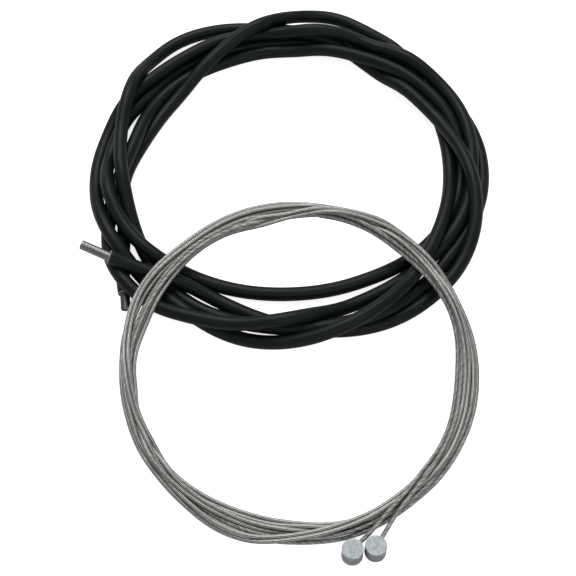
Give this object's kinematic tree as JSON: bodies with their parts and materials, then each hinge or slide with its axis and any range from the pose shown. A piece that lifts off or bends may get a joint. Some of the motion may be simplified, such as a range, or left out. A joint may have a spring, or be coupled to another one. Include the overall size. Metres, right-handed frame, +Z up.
{
  "type": "bicycle brake cable",
  "caption": "Bicycle brake cable set: coiled black housing with bare steel spiral ends, and a coil of stranded steel inner wires with cast barrel heads leaning on it.",
  "frame": {"origin": "middle of the set's footprint, on the surface that it lies on", "axes": "+Z up from that surface, -Y from the housing coil towards the barrel heads, +X to the right when the heads are nearest"},
  "size_m": [0.1492, 0.223, 0.0153],
  "materials": {
    "jacket": "satin near-black extruded plastic",
    "spiral_steel": "drawn flat steel strip, wound edge to edge",
    "liner": "plain slippery plastic",
    "wire_steel": "bright drawn steel strands laid to a rope",
    "cast_zinc": "dull as-cast zinc alloy, slightly cloudy"
  },
  "bodies": {
    "root": {"housing_coil": "jacket", "housing_left_end": "jacket", "housing_front_end": "jacket", "spiral_left": "spiral_steel", "spiral_front": "spiral_steel", "liner_left": "liner", "liner_front": "liner", "wire_1_coil": "wire_steel", "wire_2_coil": "wire_steel", "wire_1_lead": "wire_steel", "wire_2_lead": "wire_steel", "barrel_head_1": "cast_zinc", "barrel_head_2": "cast_zinc"}
  },
  "joints": []
}
